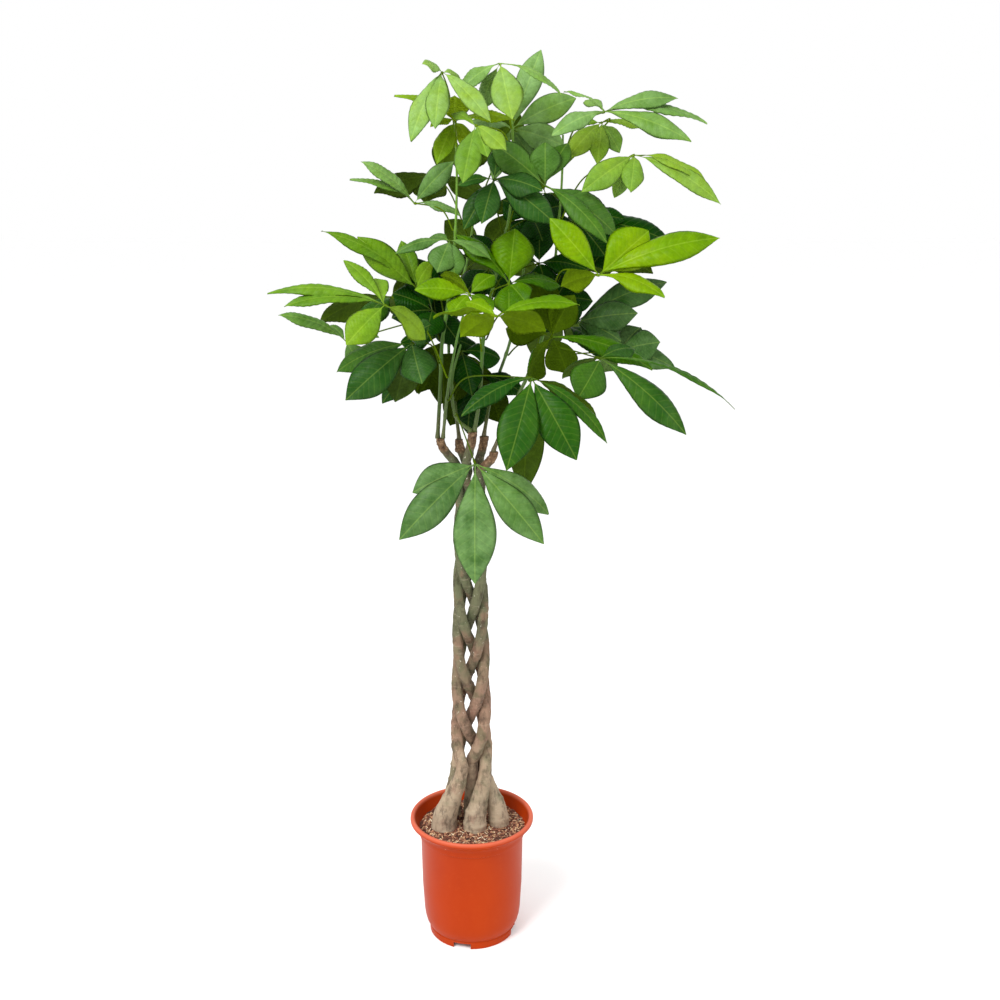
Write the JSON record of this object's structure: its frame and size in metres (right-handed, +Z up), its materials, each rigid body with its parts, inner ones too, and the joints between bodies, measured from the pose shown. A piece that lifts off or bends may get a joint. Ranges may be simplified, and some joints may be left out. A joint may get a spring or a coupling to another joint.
{
  "type": "potted money tree",
  "caption": "Potted money tree: braided trunks, green shoots and palmate leaves in soil, in a plastic nursery pot that stands on its foot ring.",
  "frame": {"origin": "middle of the pot's foot, on the surface it stands on", "axes": "+Z up along the pot's axis, -Y towards the front of the plant, +X to the right of the front"},
  "size_m": [0.765, 0.7, 1.66],
  "materials": {
    "terracotta_plastic": "satin moulded plastic, terracotta orange",
    "potting_soil": "damp dark potting soil with bark chips",
    "grey_bark": "matt grey-brown bark, greener higher up",
    "green_stem": "smooth green young bark",
    "glossy_leaf": "glossy green leaf with a paler underside"
  },
  "bodies": {
    "root": {"leaf_back_crown": "glossy_leaf", "leaf_back_high": "glossy_leaf", "leaf_back_left": "glossy_leaf", "leaf_back_low": "glossy_leaf", "leaf_back_mid": "glossy_leaf", "leaf_back_right": "glossy_leaf", "leaf_back_side": "glossy_leaf", "leaf_back_tip": "glossy_leaf", "leaf_centre": "glossy_leaf", "leaf_centre_dark": "glossy_leaf", "leaf_drooping": "glossy_leaf", "leaf_far_left": "glossy_leaf", "leaf_front": "glossy_leaf", "leaf_front_low": "glossy_leaf", "leaf_front_right": "glossy_leaf", "leaf_inner_low": "glossy_leaf", "leaf_left_bright": "glossy_leaf", "leaf_left_dark": "glossy_leaf", "leaf_left_high": "glossy_leaf", "leaf_left_inner": "glossy_leaf", "leaf_left_low": "glossy_leaf", "leaf_left_under": "glossy_leaf", "leaf_low_dark": "glossy_leaf", "leaf_mid_dark": "glossy_leaf", "leaf_mid_left": "glossy_leaf", "leaf_right_bright": "glossy_leaf", "leaf_right_dark": "glossy_leaf", "leaf_right_far": "glossy_leaf", "leaf_right_low": "glossy_leaf", "leaf_right_mid": "glossy_leaf", "leaf_right_under": "glossy_leaf", "leaf_round": "glossy_leaf", "leaf_side_left": "glossy_leaf", "leaf_side_right": "glossy_leaf", "leaf_star": "glossy_leaf", "leaf_tip_centre": "glossy_leaf", "leaf_tip_left": "glossy_leaf", "leaf_tip_right": "glossy_leaf", "leaf_top_left": "glossy_leaf", "leaf_top_mid": "glossy_leaf", "leaf_top_right": "glossy_leaf", "leaf_under_left": "glossy_leaf", "leaf_upper_dark": "glossy_leaf", "leaf_upper_fan": "glossy_leaf", "leaf_upper_star": "glossy_leaf", "pot": "terracotta_plastic", "shoot_back": "green_stem", "shoot_back_right": "green_stem", "shoot_centre": "green_stem", "shoot_dark": "green_stem", "shoot_left": "green_stem", "shoot_low": "green_stem", "shoot_right": "green_stem", "soil": "potting_soil", "trunk_1": "grey_bark", "trunk_2": "grey_bark", "trunk_3": "grey_bark", "trunk_4": "grey_bark", "trunk_5": "grey_bark"}
  },
  "joints": []
}
